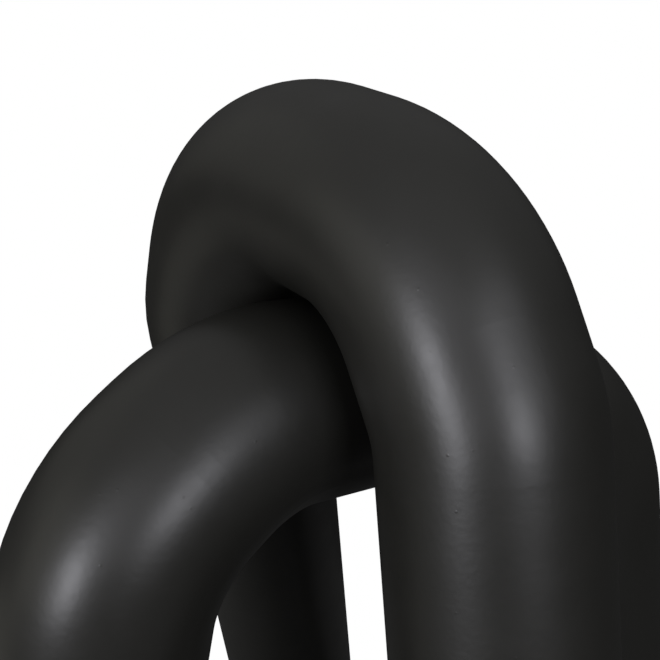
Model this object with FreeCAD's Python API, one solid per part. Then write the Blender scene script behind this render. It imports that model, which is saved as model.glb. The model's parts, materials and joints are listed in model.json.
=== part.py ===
import FreeCAD, Part
import math
import os

# Metal knot sculpture: one endless round steel tube that crosses over itself at the top.
# Two arches, the over arch and the under arch, stand across each other, and two base
# bends join their four legs in pairs, so that the tube has no end. It is made of four
# bent lengths and four straight legs, butt welded over inner sleeves, ground flush and
# powder coated.
# Millimetres, +Z up. The origin is on the surface that the pads stand on, under the
# middle of the outline box. The front faces -Y, and the over arch comes forward there
# on the right, the under arch on the left.

# Tube
tube_diameter = 50.0
tube_wall = 2.5
bend_radius = 42.0  # of the centre line, one former for every bend
crossing_gap = 0.1  # between the two arches where they cross

# Size of the knot, measured between the corners of the centre line
foot_spread = 182.5  # from the left foot to the right foot
foot_depth = 233.0  # from the front foot to the back foot
arch_rise = 288.5  # from the feet to the highest corner of the over arch

# Corners of the over arch as shares of foot_spread, foot_depth and arch_rise. Heights
# count from the feet.
over_front_foot_shares = (0.273, -0.421)
over_corner_shares = (
    (0.190, -0.238, 0.840),
    (0.124, -0.176, 0.970),
    (-0.087, 0.041, 1.000),
    (-0.142, 0.114, 0.847),
)
over_back_foot_shares = (-0.070, 0.579)

# Corners of the under arch as shares of the same sizes. Heights count from its own
# highest corner, whose height follows from the crossing gap.
under_left_foot_shares = (-0.482, -0.235)
under_corner_shares = (
    (-0.256, -0.233, -0.073),
    (-0.110, -0.146, 0.000),
    (0.073, -0.020, -0.022),
    (0.370, 0.064, -0.055),
)
under_right_foot_shares = (0.518, 0.044)

# Welded joints, one at each end of each leg
root_gap = 2.0  # between two tube ends, filled by the weld
sleeve_length = 40.0
sleeve_wall = 2.0
sleeve_clearance = 0.05  # between sleeve and tube, all round
joint_margin = 2.0  # straight tube between the end of a sleeve and the nearest bend

# Pads under the base bends
pad_diameter = 12.0
pad_thickness = 2.0
pad_spacing = 32.0  # between the two pads of a base bend
spot_depth = 1.0  # depth of the flat that a pad or a plug head is seated in
spot_margin = 0.75  # flat left round a pad or a plug head

# Vent under each base bend, which lets hot air out of the closed tube while the coat
# is baked, and the plug that closes it
vent_diameter = 6.0
plug_head_diameter = 10.0
plug_head_thickness = 0.8
plug_clearance = 0.05  # between stem and vent, all round
plug_reach = 1.5  # length of stem inside the tube

overrun = 5.0  # of a cutter past the face that it goes through

# Derived sizes
tube_radius = tube_diameter / 2
bore_radius = tube_radius - tube_wall
foot_height = pad_thickness - spot_depth + tube_radius
joint_height = sleeve_length / 2 + joint_margin

up = FreeCAD.Vector(0, 0, 1)


def foot(shares):
    """Corner of the centre line where a leg meets its base bend."""
    across, along = shares
    return FreeCAD.Vector(across * foot_spread, along * foot_depth, foot_height)


def corners(shares, start):
    """Corners of an arch, with their heights counted from the start height."""
    return [
        FreeCAD.Vector(across * foot_spread, along * foot_depth, start + rise * arch_rise)
        for across, along, rise in shares
    ]


def direction(start, end):
    """Unit vector from one point to another."""
    return FreeCAD.Vector(end - start).normalize()


def bend_run(before, corner, after):
    """Length of each of the two runs that the bend at a corner takes."""
    turn = (corner - before).getAngle(after - corner)
    return bend_radius * math.tan(turn / 2)


def bends(points):
    """For each inner corner, the start, middle and end of its bend."""
    found = []
    for before, corner, after in zip(points, points[1:], points[2:]):
        run = bend_run(before, corner, after)
        inward = direction(before, corner)
        onward = direction(corner, after)
        middle_distance = math.hypot(run, bend_radius) - bend_radius
        middle = corner + FreeCAD.Vector(onward - inward).normalize() * middle_distance
        found.append((corner - inward * run, middle, corner + onward * run))
    return found


def centre_line(points):
    """Straight runs joined by tangent arcs, from the first point to the last."""
    edges = []
    start = points[0]
    for bend_start, middle, bend_end in bends(points):
        edges.append(Part.LineSegment(start, bend_start).toShape())
        edges.append(Part.Arc(bend_start, middle, bend_end).toShape())
        start = bend_end
    edges.append(Part.LineSegment(start, points[-1]).toShape())
    return Part.Wire(edges)


def under_crown_height(over_line):
    """Height of the under arch at which the two tubes clear each other by the gap."""
    height = foot_height + arch_rise - tube_diameter
    for _ in range(12):
        points = under_points(height)
        apart = over_line.distToShape(centre_line(points))[0]
        height += apart - tube_diameter - crossing_gap
    return height


def over_points():
    """Corners of the over arch from its front foot to its back foot."""
    inner = corners(over_corner_shares, foot_height)
    return [foot(over_front_foot_shares), *inner, foot(over_back_foot_shares)]


def under_points(height):
    """Corners of the under arch from its left foot to its right foot."""
    inner = corners(under_corner_shares, height)
    return [foot(under_left_foot_shares), *inner, foot(under_right_foot_shares)]


class Leg:
    """Straight leg, with a welded joint above its base bend and one below its arch."""

    def __init__(self, arch_points, other_foot):
        self.foot, shoulder, beyond = arch_points[:3]
        self.rise = direction(self.foot, shoulder)
        base_run = bend_run(other_foot, self.foot, shoulder)
        shoulder_run = bend_run(self.foot, shoulder, beyond)
        self.joints = {
            "base": self.foot + self.rise * (base_run + joint_height),
            "shoulder": shoulder - self.rise * (shoulder_run + joint_height),
        }

    def near(self, joint, distance):
        """Point on the leg's centre line above or below the middle of a joint."""
        return self.joints[joint] + self.rise * distance

    def tube(self):
        """The straight tube between the two joints."""
        start = self.near("base", root_gap / 2)
        length = (self.near("shoulder", -root_gap / 2) - start).Length
        return straight_tube(start, self.rise, length, tube_radius, bore_radius)

    def sleeve(self, joint):
        """Inner sleeve that lines up the two tube ends at a joint."""
        start = self.near(joint, -sleeve_length / 2)
        outer_radius = bore_radius - sleeve_clearance
        inner_radius = outer_radius - sleeve_wall
        return straight_tube(start, self.rise, sleeve_length, outer_radius, inner_radius)

    def weld(self, joint):
        """Weld that fills the gap between two tube ends, ground flush."""
        start = self.near(joint, -root_gap / 2)
        return straight_tube(start, self.rise, root_gap, tube_radius, bore_radius)


def annulus(centre, normal, outer_radius, inner_radius):
    """Ring-shaped face square to the normal."""
    rings = [
        Part.Wire(Part.makeCircle(radius, centre, normal))
        for radius in (outer_radius, inner_radius)
    ]
    return Part.makeFace(rings, "Part::FaceMakerBullseye")


def single(shape):
    """The one solid that a fuse or a cut leaves, with no seams between its faces."""
    return shape.removeSplitter().Solids[0]


def straight_tube(centre, normal, length, outer_radius, inner_radius):
    """Straight length of tube that starts at the centre."""
    return annulus(centre, normal, outer_radius, inner_radius).extrude(normal * length)


def bent_tube(points):
    """Tube along straight runs and tangent bends, with open square ends."""
    lengths = []
    start = points[0]
    for (bend_start, middle, bend_end), corner in zip(bends(points), points[1:]):
        inward = direction(start, corner)
        section = annulus(start, inward, tube_radius, bore_radius)
        lengths.append(section.extrude(bend_start - start))
        centre = middle + direction(corner, middle) * bend_radius
        axis = (bend_start - centre).cross(bend_end - centre).normalize()
        turn = math.degrees((bend_start - centre).getAngle(bend_end - centre))
        section = annulus(bend_start, inward, tube_radius, bore_radius)
        lengths.append(section.revolve(centre, axis, turn))
        start = bend_end
    section = annulus(start, direction(start, points[-1]), tube_radius, bore_radius)
    lengths.append(section.extrude(points[-1] - start))
    return single(lengths[0].multiFuse(lengths[1:]))


def arch(points, first_leg, last_leg):
    """Bent tube of an arch, from one shoulder joint to the other."""
    ends = [leg.near("shoulder", root_gap / 2) for leg in (first_leg, last_leg)]
    return bent_tube([ends[0], *points[1:-1], ends[1]])


class BaseBend:
    """Tube that joins two legs and lies along the ground between them."""

    def __init__(self, first_leg, last_leg):
        self.legs = (first_leg, last_leg)
        straight = [bend_end for _, _, bend_end in bends(self.points())[:1]]
        straight += [bend_start for bend_start, _, _ in bends(self.points())[1:]]
        self.along = direction(*straight)
        self.middle = (straight[0] + straight[1]) / 2
        self.middle.z = 0

    def points(self):
        """Corners of the centre line, from joint to joint."""
        first_leg, last_leg = self.legs
        first_end = first_leg.near("base", -root_gap / 2)
        last_end = last_leg.near("base", -root_gap / 2)
        return [first_end, first_leg.foot, last_leg.foot, last_end]

    def pad_places(self):
        """Centres of the two pads, on the surface that they stand on."""
        return [self.middle + self.along * pad_spacing * side / 2 for side in (-1, 1)]

    def spot_cutter(self, place, seated_diameter):
        """Round cutter for the flat under a pad or a plug head."""
        radius = seated_diameter / 2 + spot_margin
        return Part.makeCylinder(radius, pad_thickness + overrun, place - up * overrun)

    def tube(self):
        """The bent tube with its flats and its vent."""
        cutters = [self.spot_cutter(place, pad_diameter) for place in self.pad_places()]
        cutters.append(self.spot_cutter(self.middle, plug_head_diameter))
        cutters.append(Part.makeCylinder(vent_diameter / 2, foot_height, self.middle))
        return single(bent_tube(self.points()).cut(cutters))

    def pads(self):
        """The two round pads."""
        return [
            Part.makeCylinder(pad_diameter / 2, pad_thickness, place)
            for place in self.pad_places()
        ]

    def vent_plug(self):
        """Plug whose head lies on its flat, clear of the ground."""
        seat = self.middle + up * pad_thickness
        wall_left = tube_wall - spot_depth
        stem_radius = vent_diameter / 2 - plug_clearance
        head = Part.makeCylinder(plug_head_diameter / 2, plug_head_thickness, seat, -up)
        stem = Part.makeCylinder(stem_radius, wall_left + plug_reach, seat)
        return single(head.fuse(stem))


def build():
    """All the pieces by name, before they are moved to the origin."""
    over = over_points()
    under = under_points(under_crown_height(centre_line(over)))
    legs = {
        "front_right": Leg(over, under[0]),
        "front_left": Leg(under, over[0]),
        "back_left": Leg(over[::-1], under[-1]),
        "back_right": Leg(under[::-1], over[-1]),
    }
    base_bends = {
        "front": BaseBend(legs["front_left"], legs["front_right"]),
        "rear": BaseBend(legs["back_left"], legs["back_right"]),
    }
    pieces = {
        "over_arch": arch(over, legs["front_right"], legs["back_left"]),
        "under_arch": arch(under, legs["front_left"], legs["back_right"]),
    }
    for end, base_bend in base_bends.items():
        pieces[f"{end}_base_bend"] = base_bend.tube()
        pieces[f"{end}_vent_plug"] = base_bend.vent_plug()
        for side, pad in zip(("left", "right"), base_bend.pads()):
            pieces[f"{end}_{side}_pad"] = pad
    for name, leg in legs.items():
        pieces[f"{name}_leg"] = leg.tube()
        for joint in leg.joints:
            pieces[f"{name}_{joint}_sleeve"] = leg.sleeve(joint)
            pieces[f"{name}_{joint}_weld"] = leg.weld(joint)
    return pieces


def origin_of(pieces):
    """Point under the middle of the outline box, on the ground."""
    box = Part.makeCompound(list(pieces.values())).optimalBoundingBox()
    return FreeCAD.Vector(box.Center.x, box.Center.y, 0)


def export(pieces):
    """One file for each piece, with the origin of the whole knot."""
    os.makedirs("parts", exist_ok=True)
    origin = origin_of(pieces)
    for name, piece in pieces.items():
        placed = piece.translated(-origin)
        placed.exportStep(f"parts/{name}.step")
        print(name, placed.ShapeType, len(placed.Solids), round(placed.Volume, 1), placed.isValid())


export(build())
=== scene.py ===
import bpy
import json
import math
from mathutils import Matrix, Vector

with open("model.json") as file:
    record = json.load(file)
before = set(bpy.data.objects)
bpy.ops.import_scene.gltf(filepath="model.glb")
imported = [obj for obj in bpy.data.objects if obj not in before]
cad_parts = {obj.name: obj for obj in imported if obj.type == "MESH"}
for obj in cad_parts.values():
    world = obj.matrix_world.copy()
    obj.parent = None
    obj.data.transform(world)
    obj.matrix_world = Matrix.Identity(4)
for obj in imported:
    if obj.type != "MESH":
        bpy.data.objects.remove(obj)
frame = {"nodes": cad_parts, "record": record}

print("knot loaded:", len(frame["nodes"]), "pieces")
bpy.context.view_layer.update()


def newMaterial(name):
    material = bpy.data.materials.new(name)
    material.use_nodes = True
    nodes = material.node_tree.nodes
    links = material.node_tree.links
    return material, nodes, links, nodes["Principled BSDF"]


def noiseAt(nodes, links, size, detail=2, roughness=0.5):
    # solid noise in the piece's own space, one blob about as wide as size
    where = nodes.new("ShaderNodeTexCoord")
    noise = nodes.new("ShaderNodeTexNoise")
    noise.inputs["Scale"].default_value = 1 / size
    noise.inputs["Detail"].default_value = detail
    noise.inputs["Roughness"].default_value = roughness
    links.new(where.outputs["Object"], noise.inputs["Vector"])
    return noise.outputs["Fac"]


def between(nodes, links, value, low, high, fromLow=0.3, fromHigh=0.7):
    # stretches a value over the range from low to high, most of a noise is from 0.3 to 0.7
    spread = nodes.new("ShaderNodeMapRange")
    spread.inputs["From Min"].default_value = fromLow
    spread.inputs["From Max"].default_value = fromHigh
    spread.inputs["To Min"].default_value = low
    spread.inputs["To Max"].default_value = high
    links.new(value, spread.inputs["Value"])
    return spread.outputs["Result"]


def colourBetween(nodes, links, value, darkColour, lightColour):
    mix = nodes.new("ShaderNodeMix")
    mix.data_type = "RGBA"
    mix.inputs["A"].default_value = (*darkColour, 1)
    mix.inputs["B"].default_value = (*lightColour, 1)
    links.new(value, mix.inputs["Factor"])
    return mix.outputs["Result"]


def bumpFrom(nodes, links, height, depth, under=None):
    # depth is the real height of the relief in metres
    bump = nodes.new("ShaderNodeBump")
    bump.inputs["Distance"].default_value = depth
    links.new(height, bump.inputs["Height"])
    if under is not None:
        links.new(under, bump.inputs["Normal"])
    return bump.outputs["Normal"]


def specks(nodes, links, spacing, size):
    # 1 at the middle of each speck, 0 from its edge on
    where = nodes.new("ShaderNodeTexCoord")
    cells = nodes.new("ShaderNodeTexVoronoi")
    cells.inputs["Scale"].default_value = 1 / spacing
    links.new(where.outputs["Object"], cells.inputs["Vector"])
    edge = size / spacing
    return between(nodes, links, cells.outputs["Distance"], 1, 0, fromLow=0, fromHigh=edge)


# Satin coat of the whole tube, sizes and depths in metres
satinCoat = {
    "dark": (0.0154, 0.0152, 0.0130),
    "light": (0.0202, 0.0200, 0.0176),
    "driftSize": 0.045,  # slow change of tone along the tube
    "roughness": (0.36, 0.41),
    "roughnessSize": 0.012,
    "ior": 1.5,
    "orangePeelSize": 0.0016,
    "orangePeelDepth": 0.000021,
    "grainSize": 0.00042,
    "grainDepth": 0.0000011,
    "nibSpacing": 0.0055,  # dust caught in the coat
    "nibSize": 0.00036,
    "nibDepth": 0.00003,
}


def makeSatinCoat(name, coat):
    material, nodes, links, shader = newMaterial(name)
    drift = between(nodes, links, noiseAt(nodes, links, coat["driftSize"], detail=3), 0, 1)
    tone = colourBetween(nodes, links, drift, coat["dark"], coat["light"])
    links.new(tone, shader.inputs["Base Color"])
    sheen = noiseAt(nodes, links, coat["roughnessSize"], detail=4, roughness=0.6)
    links.new(between(nodes, links, sheen, *coat["roughness"]), shader.inputs["Roughness"])
    shader.inputs["IOR"].default_value = coat["ior"]
    peel = noiseAt(nodes, links, coat["orangePeelSize"], detail=1)
    relief = bumpFrom(nodes, links, peel, coat["orangePeelDepth"])
    grain = noiseAt(nodes, links, coat["grainSize"])
    relief = bumpFrom(nodes, links, grain, coat["grainDepth"], relief)
    nibs = specks(nodes, links, coat["nibSpacing"], coat["nibSize"])
    relief = bumpFrom(nodes, links, nibs, coat["nibDepth"], relief)
    links.new(relief, shader.inputs["Normal"])
    return material


# Soft black pads under the base
padRubber = {
    "dark": (0.012, 0.012, 0.012),
    "light": (0.022, 0.022, 0.021),
    "mottleSize": 0.0016,
    "roughness": (0.72, 0.86),
    "grainSize": 0.00025,
    "grainDepth": 0.00002,
}

# Matt plugs in the two vents
plugPlastic = {
    "dark": (0.020, 0.020, 0.020),
    "light": (0.028, 0.028, 0.027),
    "mottleSize": 0.0024,
    "roughness": (0.48, 0.58),
    "grainSize": 0.0003,
    "grainDepth": 0.000012,
}


def makeMatt(name, finish):
    material, nodes, links, shader = newMaterial(name)
    mottle = between(nodes, links, noiseAt(nodes, links, finish["mottleSize"], detail=3), 0, 1)
    tone = colourBetween(nodes, links, mottle, finish["dark"], finish["light"])
    links.new(tone, shader.inputs["Base Color"])
    links.new(between(nodes, links, mottle, *finish["roughness"]), shader.inputs["Roughness"])
    grain = noiseAt(nodes, links, finish["grainSize"])
    links.new(bumpFrom(nodes, links, grain, finish["grainDepth"]), shader.inputs["Normal"])
    return material


# Bare drawn steel of the sleeves inside the joints
sleeveSteel = {
    "dark": (0.36, 0.36, 0.37),
    "light": (0.50, 0.50, 0.51),
    "drawSize": 0.0009,
    "roughness": (0.28, 0.42),
    "drawDepth": 0.000006,
}


def makeDrawnSteel(name, steel):
    material, nodes, links, shader = newMaterial(name)
    lines = noiseAt(nodes, links, steel["drawSize"], detail=4, roughness=0.6)
    share = between(nodes, links, lines, 0, 1)
    tone = colourBetween(nodes, links, share, steel["dark"], steel["light"])
    links.new(tone, shader.inputs["Base Color"])
    links.new(between(nodes, links, lines, *steel["roughness"]), shader.inputs["Roughness"])
    links.new(bumpFrom(nodes, links, lines, steel["drawDepth"]), shader.inputs["Normal"])
    shader.inputs["Metallic"].default_value = 1
    return material


# Keeps the edge between light and shade smooth on the facets of the round tubes
shadeEdge = {
    "geometryOffset": 0.2,
    "shadingOffset": 0.1,
}


def dressNodes(edge):
    finishes = {
        "coated_tube": makeSatinCoat("satinCoat", satinCoat),
        "pad_rubber": makeMatt("padRubber", padRubber),
        "plug_plastic": makeMatt("plugPlastic", plugPlastic),
        "bare_sleeve": makeDrawnSteel("sleeveSteel", sleeveSteel),
    }
    finishes["coated_weld"] = finishes["coated_tube"]  # ground flush and coated with the tube
    for entry in frame["record"]["subparts"]:
        piece = frame["nodes"][entry["node"]]
        piece.shadow_terminator_geometry_offset = edge["geometryOffset"]
        piece.shadow_terminator_shading_offset = edge["shadingOffset"]
        piece.data.materials.clear()
        piece.data.materials.append(finishes[entry["material_slot"]])
    print("finishes on:", ", ".join(sorted(finishes)))


dressNodes(shadeEdge)


# Share of the white background that shows in reflections. The photograph's rims are
# almost black, and no outer piece is bare metal or glass.
inReflections = 0.02


def backgroundShare(nodes, links):
    # 1 where the background is seen directly or through something, inReflections in a
    # reflection and 0 where it would light the knot
    path = nodes.new("ShaderNodeLightPath")
    direct = nodes.new("ShaderNodeMath")
    direct.operation = "MAXIMUM"
    links.new(path.outputs["Is Camera Ray"], direct.inputs[0])
    links.new(path.outputs["Is Transmission Ray"], direct.inputs[1])
    share = nodes.new("ShaderNodeMath")
    share.operation = "MULTIPLY_ADD"
    share.inputs[1].default_value = inReflections
    links.new(path.outputs["Is Glossy Ray"], share.inputs[0])
    links.new(direct.outputs[0], share.inputs[2])
    return share.outputs[0]


# Pale floor, plain near the knot and lost in the white background further out
paleFloor = {
    "radius": 0.30,
    "sides": 96,
    "plainTo": 0.12,  # metres from the middle, plain floor with the knot's shadow
    "whiteFrom": 0.215,
    "nearWhite": 0.25,  # share of the white background in the plain floor
    "colour": (0.80, 0.80, 0.79),
    "lightsAs": (0.10, 0.10, 0.10),  # its colour where it only lights the knot from below
    "roughness": 0.9,
}


def makeFloor(pale):
    bpy.ops.mesh.primitive_circle_add(
        vertices=pale["sides"], radius=pale["radius"], fill_type="NGON")
    floor = bpy.context.object
    floor.name = "floor"
    material, nodes, links, shader = newMaterial("paleFloor")
    shader.inputs["Roughness"].default_value = pale["roughness"]
    seen = backgroundShare(nodes, links)
    tone = colourBetween(nodes, links, seen, pale["lightsAs"], pale["colour"])
    links.new(tone, shader.inputs["Base Color"])
    where = nodes.new("ShaderNodeTexCoord")
    away = nodes.new("ShaderNodeVectorMath")
    away.operation = "LENGTH"
    links.new(where.outputs["Object"], away.inputs[0])
    ring = (pale["plainTo"], pale["whiteFrom"])
    far = between(nodes, links, away.outputs["Value"], pale["nearWhite"], 1, *ring)
    share = nodes.new("ShaderNodeMath")
    share.operation = "MULTIPLY"
    links.new(far, share.inputs[0])
    links.new(seen, share.inputs[1])
    white = nodes.new("ShaderNodeEmission")
    white.inputs["Strength"].default_value = 1
    mix = nodes.new("ShaderNodeMixShader")
    links.new(share.outputs[0], mix.inputs["Fac"])
    links.new(shader.outputs["BSDF"], mix.inputs[1])
    links.new(white.outputs["Emission"], mix.inputs[2])
    links.new(mix.outputs["Shader"], nodes["Material Output"].inputs["Surface"])
    floor.data.materials.append(material)
    print("floor laid, radius", pale["radius"])


makeFloor(paleFloor)


# Room light, which grows from the horizon up, and the white background
room = {
    "below": 0.02,  # light from the horizon and from below
    "overhead": 0.38,
    "fadeFrom": 0.0,  # sine of the height at which the overhead light starts
    "fadeTo": 0.95,
    "background": 1.0,  # white where the camera sees it
}


def makeRoom(levels):
    world = bpy.data.worlds.new("room")
    bpy.context.scene.world = world
    world.use_nodes = True
    nodes = world.node_tree.nodes
    links = world.node_tree.links
    background = nodes["Background"]
    background.inputs["Color"].default_value = (1, 1, 1, 1)
    where = nodes.new("ShaderNodeTexCoord")
    parts = nodes.new("ShaderNodeSeparateXYZ")
    links.new(where.outputs["Generated"], parts.inputs[0])
    fade = (levels["fadeFrom"], levels["fadeTo"])
    light = between(nodes, links, parts.outputs["Z"], levels["below"], levels["overhead"], *fade)
    strength = nodes.new("ShaderNodeMapRange")
    strength.inputs["To Max"].default_value = levels["background"]
    links.new(light, strength.inputs["To Min"])
    links.new(backgroundShare(nodes, links), strength.inputs["Value"])
    links.new(strength.outputs["Result"], background.inputs["Strength"])
    print("room light and background set")


makeRoom(room)


coolWhite = (0.94, 0.94, 1.0)
warmWhite = (1.0, 0.98, 0.86)
lampTarget = Vector((-0.01, -0.085, 0.270))  # just in front of the crossing
boxDistance = 1.1  # metres from there to each box

# Soft boxes that face the target, azimuth from the front towards the right and height
# above the horizon in degrees, width and tall in metres
softBoxes = {
    "leftBox": {
        "azimuth": -38.0,
        "height": 3.6,
        "width": 0.27,
        "tall": 0.36,
        "radiance": 17.1,
        "colour": coolWhite,
    },
    "rightBox": {
        "azimuth": 25.5,
        "height": 11.0,
        "width": 0.39,
        "tall": 0.30,
        "radiance": 10.3,
        "colour": coolWhite,
    },
    "rightHighBox": {
        "azimuth": 41.0,
        "height": 27.0,
        "width": 0.68,
        "tall": 0.55,
        "radiance": 1.15,
        "colour": coolWhite,
    },
    "frontFillBox": {
        "azimuth": -20.0,
        "height": 22.0,
        "width": 0.80,
        "tall": 0.80,
        "radiance": 0.80,
        "colour": (0.94, 0.93, 1.0),
    },
    "leftFillBox": {
        "azimuth": -70.0,
        "height": 10.0,
        "width": 0.8,
        "tall": 0.8,
        "radiance": 0.45,
        "colour": warmWhite,
    },
    "leftLowBox": {
        "azimuth": -100.0,
        "height": -27.0,
        "width": 0.6,
        "tall": 0.5,
        "radiance": 0.27,
        "colour": warmWhite,
    },
    "leftBackBox": {
        "azimuth": -112.0,
        "height": 27.0,
        "width": 1.1,
        "tall": 0.9,
        "radiance": 0.13,
        "colour": warmWhite,
    },
}


def directionOf(azimuth, height):
    turn, rise = math.radians(azimuth), math.radians(height)
    flat = Vector((math.sin(turn), -math.cos(turn), 0))
    return flat * math.cos(rise) + Vector((0, 0, math.sin(rise)))


def makeSoftBox(name, box):
    data = bpy.data.lights.new(name, "AREA")
    data.shape = "RECTANGLE"
    data.size = box["width"]
    data.size_y = box["tall"]
    data.energy = box["radiance"] * math.pi * box["width"] * box["tall"]  # in watts
    data.color = box["colour"]
    light = bpy.data.objects.new(name, data)
    light.visible_camera = False
    bpy.context.scene.collection.objects.link(light)
    out = directionOf(box["azimuth"], box["height"])
    light.location = lampTarget + out * boxDistance
    light.rotation_euler = out.to_track_quat("Z", "Y").to_euler()


for name, box in softBoxes.items():
    makeSoftBox(name, box)
print("soft boxes:", ", ".join(softBoxes))


# Camera at the photograph's place, close to the knot and looking down on its crossing
view = {
    "place": (-0.00456, -0.26051, 0.35370),
    "turn": 0.29,  # degrees to the right of +Y
    "tilt": -18.44,  # degrees above the horizon, so it looks down
    "roll": -0.83,
    "focalPixels": 1000.0,  # focal length, where the frame is 660 pixels wide
    "framePixels": 660,
    "sensor": 36.0,  # millimetres, as wide as the frame
    "nearest": 0.01,  # metres, what is closer isn't seen
}


def makeCamera(sight):
    turn, tilt, roll = (math.radians(sight[key]) for key in ("turn", "tilt", "roll"))
    data = bpy.data.cameras.new("photoCamera")
    data.sensor_width = sight["sensor"]
    data.lens = sight["focalPixels"] / sight["framePixels"] * sight["sensor"]
    data.clip_start = sight["nearest"]
    camera = bpy.data.objects.new("photoCamera", data)
    bpy.context.scene.collection.objects.link(camera)
    flat = Vector((math.sin(turn), math.cos(turn), 0))
    ahead = flat * math.cos(tilt) + Vector((0, 0, math.sin(tilt)))
    level = Vector((math.cos(turn), -math.sin(turn), 0))
    upright = level.cross(ahead)
    right = level * math.cos(roll) + upright * math.sin(roll)
    above = upright * math.cos(roll) - level * math.sin(roll)
    turned = Matrix((right, above, -ahead)).transposed().to_4x4()
    camera.matrix_world = Matrix.Translation(sight["place"]) @ turned
    bpy.context.scene.camera = camera


makeCamera(view)
bpy.context.scene.view_settings.view_transform = "Standard"
print("camera set")
